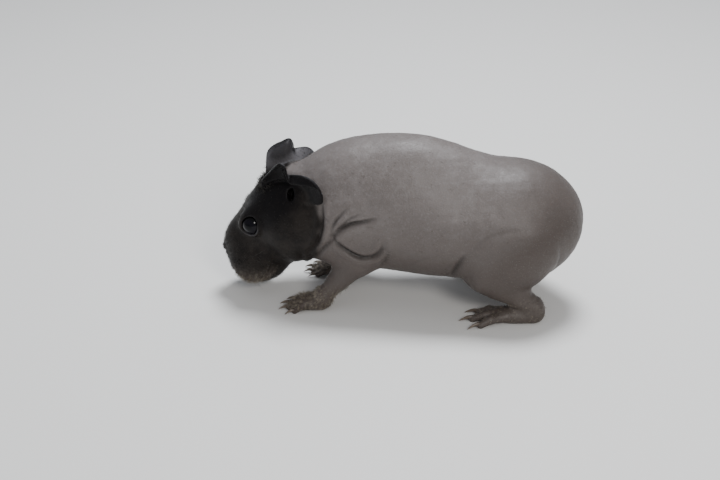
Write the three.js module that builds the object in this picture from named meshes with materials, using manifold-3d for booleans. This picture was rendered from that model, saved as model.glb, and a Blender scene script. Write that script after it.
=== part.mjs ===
// A young hairless guinea pig, life size, standing on four feet with its head lowered.
// Millimetres. It faces -X, +Z is up, the floor is at z = 0, and its left side is at -Y.
// The flesh is described as soft masses that melt into one another, and the surface is found by
// looking out from a spine to where those masses end.
import * as THREE from "three";
import { mergeVertices } from "three/addons/utils/BufferGeometryUtils.js";
import Module from "manifold-3d";

const wasm = await Module();
wasm.setup();

// Driving sizes, in millimetres and degrees
const GAP = 0.3; // between neighbouring parts
const HEAD_AT = [-60, 0, 40]; // middle of the head
const HEAD_PITCH = 46; // nose down
const NECK_CUT_FRONT = { at: [-35.5, 0, 48], pitch: 4 }; // head from neck
const NECK_CUT_BACK = { at: [-23, 0, 50], pitch: 4 }; // neck from torso
const EYE_RADIUS = 5.3;
const EYE_AT = [-5, 11, 8]; // in the level head, y for the right side
const EYE_LOOK = [-0.3, 0.92, 0.24]; // where an eye faces
const EYE_OPENING = [66, 50]; // half angles between the lids, along and across
const EYE_SLANT = 22; // the opening's long way, up and back
const LID_THICKNESS = 1;

// Soft masses of the torso and neck: centre, half sizes, pitch, and how softly each melts in.
// A mass with pair: true has a twin on the other side.
const TORSO = [
  { name: "belly", at: [24, 0, 44], size: [48, 30.5, 29], melt: 1 },
  { name: "ribs", at: [-13, 0, 48], size: [31, 24.5, 28], melt: 14 },
  { name: "rump", at: [57, 0, 43.5], size: [34, 28, 30.5], melt: 12 },
  { name: "back", at: [4, 0, 59], size: [41, 19, 27], melt: 14 },
  { name: "withers", at: [-22, 0, 60.5], size: [20, 15.5, 18], melt: 12 },
  { name: "brisket", at: [-31, 0, 34], size: [12.5, 12.5, 11], melt: 9 },
  { name: "haunch", at: [54, 19.5, 36], size: [24, 14, 22], pitch: 28, melt: 5, pair: true },
  { name: "shoulder", at: [-25, 16, 44], size: [14, 10.5, 20], pitch: -22, melt: 6, pair: true },
  { name: "elbow", at: [-17, 18.5, 30], size: [11, 7.5, 9], pitch: 18, melt: 6, pair: true },
];
const NECK = [
  { name: "neck", at: [-40, 0, 51.5], size: [23, 17, 17], pitch: 32, melt: 12 },
  { name: "throat", at: [-43, 0, 38], size: [12, 12.5, 9.5], pitch: 35, melt: 9 },
];
// Soft masses of the head, with the head held level
const HEAD = [
  { name: "cranium", at: [8, 0, 4], size: [20, 15, 14], melt: 8 },
  { name: "cheek", at: [7, 9.2, -8], size: [16, 10.8, 15.5], melt: 6, pair: true },
  { name: "bridge", at: [-10, 0, 4.5], size: [17, 9.2, 9.8], melt: 7 },
  { name: "muzzle", at: [-19, 0, -6], size: [15.5, 11, 14.5], melt: 9 },
  { name: "whisker pad", at: [-24.5, 6, -8], size: [9.2, 6.6, 9.8], melt: 5, pair: true },
  { name: "nose pad", at: [-28.8, 0, 4.6], size: [2.3, 4.4, 3.8], melt: 2.2 },
  { name: "chin", at: [-20, 0, -14.5], size: [11.5, 8, 8.5], pitch: -8, melt: 4 },
  { name: "jaw", at: [3, 0, -16.5], size: [15, 11.5, 9], melt: 7 },
  { name: "brow", at: [-3, 10.2, 11], size: [8, 4, 3.8], melt: 5, pair: true },
];

// Legs, y for the right side: the part of the body's side that belongs to the leg, and the length
// below it, from knee or elbow to hock or wrist, with the flesh's radius at both ends
const FORELEG = {
  region: { at: [-17, 25, 32], size: [15, 12.5, 17], pitch: 8 },
  top: { at: [-16.5, 17.6, 27], radius: 7.4 },
  foot: { at: [-28.5, 18.6, 8.6], radius: 4 },
  footCut: 8.8, // height of the thin cut above the foot
};
const HINDLEG = {
  region: { at: [55, 31, 33], size: [27, 19.5, 26], pitch: 26 },
  top: { at: [43.5, 22.2, 24.5], radius: 8.8 },
  foot: { at: [65, 21.6, 8.4], radius: 4.9 },
  footCut: 9.6,
};
// Feet, y for the right side: the palm or sole as soft masses, and toes from inner to outer
const FOREFOOT = {
  masses: [
    { name: "palm", at: [-35, 18.3, 3.3], size: [8, 4.9, 3.7], melt: 2 },
    { name: "wrist", at: [-30, 18.6, 5.6], size: [4.6, 4.2, 5.2], melt: 2.5 },
  ],
  spine: [
    [-31, 18.5, 3.6],
    [-38.5, 18.2, 3],
  ],
  knuckles: [-39, 18.1, 2.9],
  knuckleHalfWidth: 3.4,
  heading: 6, // turned out
  toes: [
    { fan: -22, length: 6 },
    { fan: -8, length: 7.6 },
    { fan: 6, length: 7.8 },
    { fan: 22, length: 6 },
  ],
  toeRadius: 1.7,
  clawLength: 3.6,
};
const HINDFOOT = {
  masses: [
    { name: "sole", at: [56, 22.8, 3.2], size: [13.5, 5, 4.1], melt: 2 },
    { name: "heel", at: [66, 22, 5.4], size: [5, 4.5, 5.8], melt: 3 },
  ],
  spine: [
    [66, 22.1, 4],
    [50, 23.2, 3.2],
  ],
  knuckles: [47, 23.4, 3.2],
  knuckleHalfWidth: 3.6,
  heading: 9,
  toes: [
    { fan: -16, length: 9 },
    { fan: 0, length: 10.8 },
    { fan: 16, length: 9 },
  ],
  toeRadius: 2.1,
  clawLength: 4.8,
};
const FLOOR_SINK = 0.45; // how far soles and toes are flattened by the floor
const CLAW_CLEARANCE = 0.45; // under a claw's tip
const SIDES = { left: -1, right: 1 };
const STEPS = { foreleg: { left: -5, right: 3 }, hindleg: { left: 3, right: -4 } }; // back is +

// Ear: where it grows and where its rim runs, from the front root over the crown to the rear root,
// in the level head and for the right side, measured from the ear's middle. The right ear is
// swivelled forward.
const EAR_AT = [17, 12.5, 11.5];
const EAR_THICKNESS = 1.2;
const EAR_SINK = 6; // how far the ear's wall runs on below the skin before it is trimmed
const EAR_ROOT = [
  [-5, -5.5, 6],
  [-1, -4.8, 5.8],
  [4, -3.8, 3.8],
  [8, -2.4, 0.5],
  [10, -1.2, -4],
  [9.5, 0.2, -9],
  [6.5, 1.2, -12.5],
];
const EAR_RIMS = {
  left: [
    [-2.2, -4.5, 8.1],
    [3.5, -3, 8.8],
    [8.5, -1, 9.6],
    [12.7, 0.5, 9.6],
    [13.4, 1.5, 6.9],
    [11.1, 2, 3.8],
    [10.3, 3.5, 0.2],
    [14.4, 5.5, -1.2],
    [19, 7.5, -3.8],
    [21.8, 9, -7.6],
    [20.3, 10, -12.6],
    [16.2, 10, -15.2],
    [10.3, 6.5, -13],
  ],
  right: [
    [-4.3, -4.5, 6.1],
    [-1.6, -2.5, 9.8],
    [1.3, -0.5, 12.5],
    [5, 1, 12.8],
    [9.4, 2, 11.3],
    [13.2, 2.5, 9.5],
    [12.1, 3, 6.6],
    [9.4, 4, 4],
    [11.9, 5.5, 1.6],
    [14.4, 7.5, -1],
    [15, 8.5, -4.4],
    [13.7, 8, -8.5],
    [9.3, 4.5, -9.7],
  ],
};
// How the wall bows away from the straight way between root and rim, front to rear
const EAR_BOW = [
  [0, -1, 0.5],
  [0.5, -2, 0.5],
  [1, -1.5, 1],
  [1, 0, 2],
  [1.5, 1.2, 2.2],
  [1.2, 2, 1.6],
  [0.4, 1, 0.4],
];
// How the rim curls over, front to rear, and how far up the wall the curl begins
const EAR_CURL = [
  [0, 0, 0],
  [-0.2, 0.6, -0.4],
  [-0.6, 1, -0.6],
  [-0.3, 1, -0.8],
  [-1.4, 1.8, -2.6],
  [-1.8, 1.2, -1.2],
  [0, 0, 0],
];
const CURL_FROM = 0.6;
const EAR_CANAL = { at: [21.2, 13.4, 6.2], size: [1.5, 3.5, 2.6] };

// Nostrils and the line of the mouth, in the level head, for the right side
const MUZZLE_MIDDLE = [-15, 0, -4];
const NOSTRIL = {
  path: [
    [-29, 1.4, 4],
    [-28.4, 3, 5],
    [-27, 4.4, 5.8],
  ],
  radius: 0.9,
};
const LIP_CLEFT = {
  path: [
    [-29, 0, 1.6],
    [-29.5, 0, -3],
    [-29, 0, -10],
  ],
  radius: 0.6,
};
const MOUTH = {
  path: [
    [-27, 0, -11.5],
    [-26, 3.2, -12.2],
    [-22.5, 6.8, -13.2],
    [-17, 9.2, -14],
  ],
  radius: 0.75,
};

const degrees = THREE.MathUtils.degToRad;
const vector = (a) => new THREE.Vector3(...a);
const onSide = (a, side) => [a[0], a[1] * side, a[2]];
const headMatrix = new THREE.Matrix4()
  .makeRotationY(-degrees(HEAD_PITCH))
  .setPosition(...HEAD_AT);
const intoHead = headMatrix.clone().invert();

// Fields: a function of a point that is negative inside the flesh and about the distance outside
function turned(x, y, z, matrix) {
  const e = matrix.elements;
  return [
    e[0] * x + e[4] * y + e[8] * z + e[12],
    e[1] * x + e[5] * y + e[9] * z + e[13],
    e[2] * x + e[6] * y + e[10] * z + e[14],
  ];
}

function ellipsoid({ at, size, pitch = 0 }, side = 1) {
  const own = new THREE.Matrix4()
    .makeRotationY(-degrees(pitch))
    .setPosition(...onSide(at, side))
    .invert();
  return (x, y, z) => {
    const [a, b, c] = turned(x, y, z, own);
    const near = Math.hypot(a / size[0], b / size[1], c / size[2]);
    const steep = Math.hypot(a / size[0] ** 2, b / size[1] ** 2, c / size[2] ** 2);
    return steep < 1e-9 ? -Math.min(...size) : (near * (near - 1)) / steep;
  };
}

// A straight limb that tapers between two round ends
function limb(from, to) {
  const start = vector(from.at);
  const along = vector(to.at).sub(start);
  const squared = along.lengthSq();
  return (x, y, z) => {
    const [dx, dy, dz] = [x - start.x, y - start.y, z - start.z];
    const t = THREE.MathUtils.clamp((dx * along.x + dy * along.y + dz * along.z) / squared, 0, 1);
    const radius = from.radius + t * (to.radius - from.radius);
    return Math.hypot(dx - t * along.x, dy - t * along.y, dz - t * along.z) - radius;
  };
}

function melted(near, far, softness) {
  const share = Math.max(softness - Math.abs(near - far), 0) / softness;
  return Math.min(near, far) - (share * share * softness) / 4;
}

function fleshOf(masses) {
  const parts = masses.flatMap((mass) => {
    const sides = mass.pair ? [-1, 1] : [1];
    return sides.map((side) => ({ field: ellipsoid(mass, side), melt: mass.melt }));
  });
  return (x, y, z) =>
    parts.reduce((sum, part, i) => {
      const here = part.field(x, y, z);
      return i ? melted(sum, here, part.melt) : here;
    }, 0);
}

const torsoFlesh = fleshOf(TORSO);
const neckFlesh = fleshOf(NECK);
const headFlesh = fleshOf(HEAD);
function trunkFlesh(x, y, z) {
  const head = headFlesh(...turned(x, y, z, intoHead));
  return melted(melted(torsoFlesh(x, y, z), neckFlesh(x, y, z), 12), head, 9);
}

// How far flesh reaches from a point inside it along a direction
function reach(flesh, from, way, level) {
  let low = 0;
  let high = 0;
  do {
    low = high;
    high += 1.5;
  } while (flesh(from.x + way.x * high, from.y + way.y * high, from.z + way.z * high) < level);
  for (let i = 0; i < 16; i++) {
    const middle = (low + high) / 2;
    const value = flesh(from.x + way.x * middle, from.y + way.y * middle, from.z + way.z * middle);
    if (value < level) low = middle;
    else high = middle;
  }
  return from.clone().addScaledVector(way, (low + high) / 2);
}

// A closed surface from rings of points with a point at each end
function skinned(rings, start, end) {
  const sides = rings[0].length;
  const points = [start, ...rings.flat(), end];
  const faces = [];
  const at = (ring, side) => 1 + ring * sides + (side % sides);
  for (let s = 0; s < sides; s++) {
    faces.push([0, at(0, s + 1), at(0, s)]);
    faces.push([points.length - 1, at(rings.length - 1, s), at(rings.length - 1, s + 1)]);
    for (let r = 0; r + 1 < rings.length; r++) {
      faces.push([at(r, s), at(r, s + 1), at(r + 1, s + 1)]);
      faces.push([at(r, s), at(r + 1, s + 1), at(r + 1, s)]);
    }
  }
  return solidOf(points, faces);
}

function solidOf(points, faces) {
  const volume = faces.reduce((sum, [a, b, c]) => {
    return sum + points[a].dot(points[b].clone().cross(points[c]));
  }, 0);
  const outward = volume < 0 ? faces.map(([a, b, c]) => [a, c, b]) : faces;
  return new wasm.Manifold(
    new wasm.Mesh({
      numProp: 3,
      vertProperties: new Float32Array(points.flatMap((p) => [p.x, p.y, p.z])),
      triVerts: new Uint32Array(outward.flat()),
    }),
  );
}

function solidFrom(geometry, matrix) {
  const bare = new THREE.BufferGeometry()
    .setAttribute("position", geometry.getAttribute("position").clone())
    .setIndex(geometry.index)
    .applyMatrix4(matrix ?? new THREE.Matrix4());
  const merged = mergeVertices(bare, 1e-4);
  const place = merged.getAttribute("position");
  const points = Array.from({ length: place.count }, (_, i) =>
    new THREE.Vector3().fromBufferAttribute(place, i),
  );
  const corners = Array.from(merged.index.array);
  const faces = [];
  for (let i = 0; i < corners.length; i += 3) {
    const face = corners.slice(i, i + 3);
    if (new Set(face).size === 3) faces.push(face);
  }
  return solidOf(points, faces);
}

// Looks out from a spine to the flesh's surface: rings across it, a fan of rings over each end.
// A wide span makes the rings turn slowly where the spine bends, so that they don't cross.
function lookedOut(flesh, spine, { rings, sides, fanRings, level = 0, span = 0.01 }) {
  const curve = new THREE.CatmullRomCurve3(spine.map(vector), false, "centripetal");
  const forwardAt = (t) =>
    curve
      .getPointAt(Math.min(t + span, 1))
      .sub(curve.getPointAt(Math.max(t - span, 0)))
      .normalize();
  const across = (t, lean) => {
    const forward = forwardAt(t);
    const sideways = new THREE.Vector3(0, 0, 1).cross(forward).normalize();
    const upward = forward.clone().cross(sideways);
    return Array.from({ length: sides }, (_, s) => {
      const angle = (2 * Math.PI * s) / sides;
      const way = sideways
        .clone()
        .multiplyScalar(Math.cos(angle))
        .addScaledVector(upward, Math.sin(angle))
        .multiplyScalar(Math.cos(lean))
        .addScaledVector(forward, Math.sin(lean));
      return reach(flesh, curve.getPointAt(t), way, level);
    });
  };
  const tip = (t, direction) =>
    reach(flesh, curve.getPointAt(t), forwardAt(t).multiplyScalar(direction), level);
  const fan = (t, direction, count) =>
    even(count, 1, count).map((i) => across(t, (direction * i * Math.PI) / 2 / (count + 1)));
  return skinned(
    [
      ...fan(0, -1, fanRings[0]).reverse(),
      ...rings.map((t) => across(t, 0)),
      ...fan(1, 1, fanRings[1]),
    ],
    tip(0, -1),
    tip(1, 1),
  );
}

const even = (count, from = 0, to = 1) =>
  Array.from({ length: count }, (_, i) => from + ((to - from) * i) / Math.max(count - 1, 1));

function largest(solid) {
  return solid.decompose().reduce((best, body) => (body.volume() > best.volume() ? body : best));
}

// A thick wall across the animal, from a place backwards, used to part it
function behind({ at, pitch }, shift) {
  const block = new THREE.BoxGeometry(400, 200, 400).translate(200 + shift, 0, 0);
  const turn = new THREE.Matrix4().makeRotationY(-degrees(pitch)).setPosition(...at);
  return solidFrom(block, turn);
}

const below = (height) =>
  solidFrom(new THREE.BoxGeometry(400, 200, 400).translate(0, 0, height - 200));

function ball(centre, radii, wide, high, turn = new THREE.Matrix4()) {
  const frame = turn.clone().setPosition(...centre).scale(vector(radii));
  return solidFrom(new THREE.SphereGeometry(1, wide, high), frame);
}

// Head, neck and torso, first as one body
const headSpine = [
  [-17, 0, -4],
  [-5, 0, 0],
  [8, 0, 3],
].map((p) => turned(...p, headMatrix));
const trunkSpine = [...headSpine, [-40, 0, 50], [-20, 0, 51], [20, 0, 49], [54, 0, 44]];
const HEAD_SHARE = 0.32; // of the spine's length, where rings are closer
const trunkShape = {
  rings: [...even(18, 0, HEAD_SHARE), ...even(16, HEAD_SHARE + 0.03, 1)],
  sides: 34,
  fanRings: [6, 7],
  span: 0.16,
};
const trunk = lookedOut(trunkFlesh, trunkSpine, trunkShape);
const grownTrunk = lookedOut(trunkFlesh, trunkSpine, { ...trunkShape, level: GAP });
let head = largest(trunk.subtract(behind(NECK_CUT_FRONT, -GAP / 2)));
let neck = trunk
  .intersect(behind(NECK_CUT_FRONT, GAP / 2))
  .subtract(behind(NECK_CUT_BACK, -GAP / 2));
let torso = trunk.intersect(behind(NECK_CUT_BACK, GAP / 2));

// Eyes, with lids that close round them
function eyeParts(side) {
  const centre = turned(...onSide(EYE_AT, side), headMatrix);
  const look = vector(onSide(EYE_LOOK, side)).normalize().transformDirection(headMatrix);
  const round = (radius) => ball(centre, [radius, radius, radius], 16, 10);
  const slant = new THREE.Vector3(1, 0, 0).applyAxisAngle(new THREE.Vector3(0, -1, 0), degrees(EYE_SLANT));
  const along = slant.transformDirection(headMatrix);
  along.addScaledVector(look, -along.dot(look)).normalize();
  const depth = 1.5 * EYE_RADIUS;
  const [halfLong, halfHigh] = EYE_OPENING.map((angle) => Math.tan(degrees(angle)));
  const opening = new THREE.CylinderGeometry(depth, 0.1, depth, 16, 1).translate(0, depth / 2, 0);
  const frame = new THREE.Matrix4()
    .makeBasis(
      along.clone().multiplyScalar(halfLong),
      look,
      along.clone().cross(look).multiplyScalar(halfHigh),
    )
    .setPosition(...centre);
  return {
    eye: round(EYE_RADIUS),
    socket: round(EYE_RADIUS + GAP),
    lids: round(EYE_RADIUS + LID_THICKNESS),
    opening: solidFrom(opening, frame),
  };
}

// A groove in the muzzle: a tube whose middle runs on the skin
function groove({ path, radius }, side) {
  const middle = vector(turned(...MUZZLE_MIDDLE, headMatrix));
  const onSkin = path.map((p) => {
    const way = vector(turned(...onSide(p, side), headMatrix)).sub(middle).normalize();
    return reach(trunkFlesh, middle, way, 0);
  });
  const curve = new THREE.CatmullRomCurve3(onSkin);
  const rings = even(7, 0.03, 0.97).map((t) => {
    const forward = curve.getTangentAt(t);
    const sideways = curve.getPointAt(t).sub(middle).cross(forward).normalize();
    const outward = forward.clone().cross(sideways);
    const here = radius * Math.sin(Math.PI * t) ** 0.4;
    return even(8, 0, (7 / 4) * Math.PI).map((angle) =>
      curve
        .getPointAt(t)
        .addScaledVector(sideways, here * Math.cos(angle))
        .addScaledVector(outward, here * Math.sin(angle)),
    );
  });
  return skinned(rings, curve.getPointAt(0), curve.getPointAt(1));
}

// An ear: a bowed sheet between its root on the head and its rim, with the same thickness all over
function earSheet(name, side) {
  const curveOf = (points, from) => {
    const placed = points.map((p) => vector(onSide(p, side)).add(vector(onSide(from, side))));
    return new THREE.CatmullRomCurve3(placed, false, "catmullrom", 0.5);
  };
  const root = curveOf(EAR_ROOT, EAR_AT);
  const rim = curveOf(EAR_RIMS[name], EAR_AT);
  const bow = curveOf(EAR_BOW, [0, 0, 0]);
  const curl = curveOf(EAR_CURL, [0, 0, 0]);
  const inward = new THREE.Vector3(0.25, -0.75 * side, -0.6).normalize();
  const place = (u, v) => {
    const low = root.getPoint(u);
    const high = rim.getPoint(u);
    if (v < 0) return low.addScaledVector(inward, -v * EAR_SINK);
    const curled = (Math.max(v - CURL_FROM, 0) / (1 - CURL_FROM)) ** 2;
    return low
      .lerp(high, v)
      .addScaledVector(bow.getPoint(u), 4 * v * (1 - v))
      .addScaledVector(curl.getPoint(u), curled);
  };
  const across = even(18);
  const up = [-1, -0.02, ...even(6, 0.18, 1)];
  const step = 0.01;
  const faces = [0.5, -0.5].map((half) =>
    across.map((u) =>
      up.map((v) => {
        const here = place(u, v);
        const alongU = place(Math.min(u + step, 1), v).sub(place(Math.max(u - step, 0), v));
        const alongV = place(u, Math.min(v + step, 1)).sub(place(u, v - step));
        const normal = alongU.cross(alongV).normalize();
        return here.addScaledVector(normal, half * EAR_THICKNESS).applyMatrix4(headMatrix);
      }),
    ),
  );
  const loops = across.map((_, i) => [...faces[0][i], ...faces[1][i].reverse()]);
  return closedStrip(loops);
}

// A closed body from loops of points, with a flat fan over each end
function closedStrip(loops) {
  const middle = (loop) =>
    loop.reduce((sum, p) => sum.add(p), new THREE.Vector3()).divideScalar(loop.length);
  return skinned(loops, middle(loops[0]), middle(loops.at(-1)));
}

const parts = new Map();
for (const [name, side] of Object.entries(SIDES)) {
  const { eye, socket, lids, opening } = eyeParts(side);
  const canal = ball(
    turned(...onSide(EAR_CANAL.at, side), headMatrix),
    EAR_CANAL.size,
    12,
    8,
  );
  head = head.add(lids).subtract(opening).subtract(socket).subtract(canal);
  for (const line of [NOSTRIL, MOUTH]) head = head.subtract(groove(line, side));
  parts.set(`eye_${name}`, { solid: eye, material: "eye" });
  parts.set(`ear_${name}`, { solid: earSheet(name, side).subtract(grownTrunk), material: "ear_skin" });
}
head = head.subtract(groove(LIP_CLEFT, 1));

// Legs and feet
function toeParts(foot, toe, i, side, moved) {
  const turn = degrees(foot.heading + toe.fan) * side;
  const forward = new THREE.Vector3(-Math.cos(turn), Math.sin(turn), 0);
  const share = (2 * i) / (foot.toes.length - 1) - 1;
  const base = moved(foot.knuckles).add(
    new THREE.Vector3(1.2 * Math.abs(share), share * foot.knuckleHalfWidth * side, 0),
  );
  const place = (along, height) =>
    base.clone().addScaledVector(forward, along * toe.length).setZ(height).toArray();
  const thick = foot.toeRadius;
  const joints = [
    { at: place(-0.25, base.z), radius: thick * 1.05 },
    { at: place(0.45, base.z + 0.1), radius: thick },
    { at: place(1, thick * 0.9 - FLOOR_SINK), radius: thick * 0.85 },
  ];
  const upper = limb(joints[0], joints[1]);
  const lower = limb(joints[1], joints[2]);
  const flesh = (x, y, z) => melted(upper(x, y, z), lower(x, y, z), 1);
  const shape = { rings: even(4), sides: 7, fanRings: [1, 1] };
  const spine = joints.map((joint) => joint.at);
  return {
    toe: lookedOut(flesh, spine, shape),
    grownToe: lookedOut(flesh, spine, { ...shape, level: GAP }),
    claw: clawSolid(vector(joints[2].at), forward, foot, thick),
  };
}

function clawSolid(tip, forward, foot, toeRadius) {
  const start = tip.clone().setZ(tip.z + 0.25 * toeRadius);
  const radius = 0.56 * toeRadius;
  const length = foot.clawLength + toeRadius;
  const drop = start.z - CLAW_CLEARANCE;
  const sideways = new THREE.Vector3(0, 0, 1).cross(forward).normalize();
  const along = (t) =>
    start
      .clone()
      .addScaledVector(forward, length * t)
      .setZ(start.z + 0.5 * Math.sin(Math.PI * t) - drop * t * t);
  const rings = even(4, 0, 0.85).map((t) => {
    const here = radius * (1 - t) ** 0.75;
    return even(6, 0, (5 / 3) * Math.PI).map((angle) =>
      along(t)
        .addScaledVector(sideways, 0.8 * here * Math.cos(angle))
        .add(new THREE.Vector3(0, 0, here * Math.sin(angle))),
    );
  });
  return skinned(rings, along(-0.02), along(1));
}

function limbParts(leg, foot, side, step) {
  const shifted = (share) => (p) => vector(onSide(p, side)).add(new THREE.Vector3(step * share, 0, 0));
  const atFoot = shifted(1);
  const top = { at: shifted(0.3)(leg.top.at).toArray(), radius: leg.top.radius };
  const end = { at: atFoot(leg.foot.at).toArray(), radius: leg.foot.radius };
  const lengthShape = { rings: even(3), sides: 14, fanRings: [2, 2] };
  const lengthOf = (level) =>
    lookedOut(limb(top, end), [top.at, end.at], { ...lengthShape, level });
  const footFlesh = fleshOf(
    foot.masses.map((mass) => ({ ...mass, at: atFoot(mass.at).toArray() })),
  );
  const footSpine = foot.spine.map((p) => atFoot(p).toArray());
  let whole = lookedOut(footFlesh, footSpine, { rings: even(5), sides: 14, fanRings: [3, 3] });
  const toes = foot.toes.map((toe, i) => toeParts(foot, toe, i, side, atFoot));
  for (const { toe } of toes) whole = whole.add(toe);
  whole = whole.add(lengthOf(0)).subtract(below(0));
  const regionOf = (grow) =>
    ball(
      onSide(leg.region.at, side),
      leg.region.size.map((half) => half + grow),
      20,
      14,
      new THREE.Matrix4().makeRotationY(-degrees(leg.region.pitch)),
    );
  return {
    region: regionOf(0),
    cutter: regionOf(GAP).add(lengthOf(GAP)),
    lengthCutter: lengthOf(GAP),
    upper: whole.subtract(below(leg.footCut + GAP / 2)),
    foot: whole.intersect(below(leg.footCut - GAP / 2)),
    claws: toes.map(({ claw, grownToe }) => claw.subtract(grownToe)),
  };
}

const LIMBS = [
  { kind: "fore", leg: FORELEG, foot: FOREFOOT, steps: STEPS.foreleg },
  { kind: "hind", leg: HINDLEG, foot: HINDFOOT, steps: STEPS.hindleg },
];
const wholeTorso = torso;
for (const { kind, leg, foot, steps } of LIMBS) {
  for (const [name, side] of Object.entries(SIDES)) {
    const made = limbParts(leg, foot, side, steps[name]);
    torso = torso.subtract(made.cutter);
    neck = neck.subtract(made.lengthCutter);
    head = head.subtract(made.lengthCutter);
    const solid = wholeTorso.intersect(made.region).add(made.upper);
    parts.set(`${kind}leg_${name}`, { solid, material: "body_skin" });
    parts.set(`${kind}foot_${name}`, { solid: made.foot, material: "foot_skin" });
    made.claws.forEach((claw, i) =>
      parts.set(`claw_${kind}_${name}_${i + 1}`, { solid: claw, material: "claw" }),
    );
  }
}

const group = new THREE.Group();
const LOOKS = {
  body_skin: { color: 0x6b605b, roughness: 0.55 },
  head_skin: { color: 0x2f2a28, roughness: 0.55 },
  ear_skin: { color: 0x1f1b1e, roughness: 0.5 },
  foot_skin: { color: 0x5e544c, roughness: 0.6 },
  eye: { color: 0x0a0a10, roughness: 0.05 },
  claw: { color: 0x4a3f35, roughness: 0.4 },
};
const materials = Object.fromEntries(
  Object.entries(LOOKS).map(([name, look]) => [
    name,
    new THREE.MeshStandardMaterial({ name, metalness: 0, ...look }),
  ]),
);
parts.set("head", { solid: head, material: "head_skin" });
parts.set("neck", { solid: neck, material: "body_skin" });
parts.set("torso", { solid: torso, material: "body_skin" });
for (const [name, { solid, material }] of parts) {
  const { numProp, vertProperties, triVerts } = largest(solid).getMesh();
  const places = new Float32Array((vertProperties.length / numProp) * 3);
  for (let i = 0; i * numProp < vertProperties.length; i++) {
    places.set(vertProperties.subarray(i * numProp, i * numProp + 3), i * 3);
  }
  const geometry = new THREE.BufferGeometry()
    .setAttribute("position", new THREE.BufferAttribute(places, 3))
    .setIndex(new THREE.BufferAttribute(triVerts, 1));
  const mesh = new THREE.Mesh(geometry, materials[material]);
  mesh.name = name;
  group.add(mesh);
}
const middle = new THREE.Box3().setFromObject(group).getCenter(new THREE.Vector3());
group.position.set(-middle.x, -middle.y, 0);

export default group;
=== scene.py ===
# A young hairless guinea pig, life size, standing on four feet with its head lowered.
# One skin over the whole animal, with folds, lids, ears and feet, and separate eyes, claws and fuzz.
# Shapes are worked out in millimetres in the animal's own frame: it faces -X, +Z is up.
import math

import bmesh
import bpy
import numpy as np
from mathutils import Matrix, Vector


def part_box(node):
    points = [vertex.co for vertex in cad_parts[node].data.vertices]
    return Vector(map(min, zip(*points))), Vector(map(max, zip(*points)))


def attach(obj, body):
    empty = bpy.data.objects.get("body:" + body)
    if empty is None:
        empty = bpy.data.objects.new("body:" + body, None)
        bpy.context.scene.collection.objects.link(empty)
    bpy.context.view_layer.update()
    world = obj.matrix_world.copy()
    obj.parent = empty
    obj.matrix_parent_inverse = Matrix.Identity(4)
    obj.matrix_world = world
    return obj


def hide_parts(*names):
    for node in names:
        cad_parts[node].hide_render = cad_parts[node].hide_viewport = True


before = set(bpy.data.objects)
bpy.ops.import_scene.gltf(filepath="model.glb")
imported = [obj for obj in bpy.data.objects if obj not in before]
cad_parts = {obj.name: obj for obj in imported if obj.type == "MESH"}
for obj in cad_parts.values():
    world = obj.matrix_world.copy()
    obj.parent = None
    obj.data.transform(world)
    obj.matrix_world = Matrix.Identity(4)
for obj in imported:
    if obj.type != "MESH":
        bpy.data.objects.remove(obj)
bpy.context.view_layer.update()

import openvdb
from mathutils import Vector
from mathutils.bvhtree import BVHTree

MM = 0.001
SIDES = {"left": -1, "right": 1}

# Head: where it is held, eyes, and the soft masses of the whole body, as the solids have them
HEAD_AT = np.array([-60.0, 0.0, 40.0])
HEAD_PITCH = 46
EYE_RADIUS = 5.3
EYE_CLEARANCE = 0.03  # of the eyeball within its socket
CORNEA_BULGE = 0.15
EYE_AT = [-5, 11.0, 8.0]
EYE_LOOK = [-0.3, 0.92, 0.24]
EYE_OPENING = [66, 50]  # half angles between the lids, along and across
EYE_SLANT = 22  # the opening's long way, up and back
LID_THICKNESS = 1.0
HEAD_REACH = -22  # head and ears reach back to here
# The head's dark colour is partly its own darker skin and partly painted shade.
HEAD_MARKING_AND_SHADE_ENDS = -34  # where the head's dark colour ends behind the cheek
HEAD_MARKING_AND_SHADE_TOP = 51  # above this height the dark colour ends further forward
HEAD_MARKING_AND_SHADE_FOOT = 42  # below this height too


def mass(at, size, melt, pitch=0, pair=False):
    return {"at": at, "size": size, "melt": melt, "pitch": pitch, "pair": pair}


TORSO = {
    "belly": mass([24, 0, 44], [48, 30.5, 29], 1),
    "ribs": mass([-13, 0, 48], [31, 24.5, 28], 14),
    "rump": mass([57, 0, 43.5], [34, 28, 30.5], 12),
    "back": mass([4, 0, 59], [41, 19, 27], 14),
    "withers": mass([-22, 0, 60.5], [20, 15.5, 18], 12),
    "brisket": mass([-31, 0, 34], [12.5, 12.5, 11], 9),
    "haunch": mass([54, 19.5, 36], [24, 14, 22], 5, 28, True),
    "shoulder": mass([-25, 16, 44], [14, 10.5, 20], 6, -22, True),
    "elbow": mass([-17, 18.5, 30], [11, 7.5, 9], 6, 18, True),
}
NECK = {
    "neck": mass([-40, 0, 51.5], [23, 17, 17], 12, 32),
    "throat": mass([-43, 0, 38], [12, 12.5, 9.5], 9, 35),
}
HEAD = {
    "cranium": mass([8, 0, 4], [20, 15, 14], 8),
    "cheek": mass([7, 9.2, -8], [16, 10.8, 15.5], 6, 0, True),
    "bridge": mass([-10, 0, 4.5], [17, 9.2, 9.8], 7),
    "muzzle": mass([-19, 0, -6], [15.5, 11, 14.5], 9),
    "whisker pad": mass([-24.5, 6, -8], [9.2, 6.6, 9.8], 5, 0, True),
    "nose pad": mass([-28.8, 0, 4.6], [2.3, 4.4, 3.8], 2.2),
    "chin": mass([-20, 0, -14.5], [11.5, 8, 8.5], 4, -8),
    "jaw": mass([3, 0, -16.5], [15, 11.5, 9], 7),
    "brow": mass([-3, 10.2, 11], [8, 4, 3.8], 5, 0, True),
}
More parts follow.
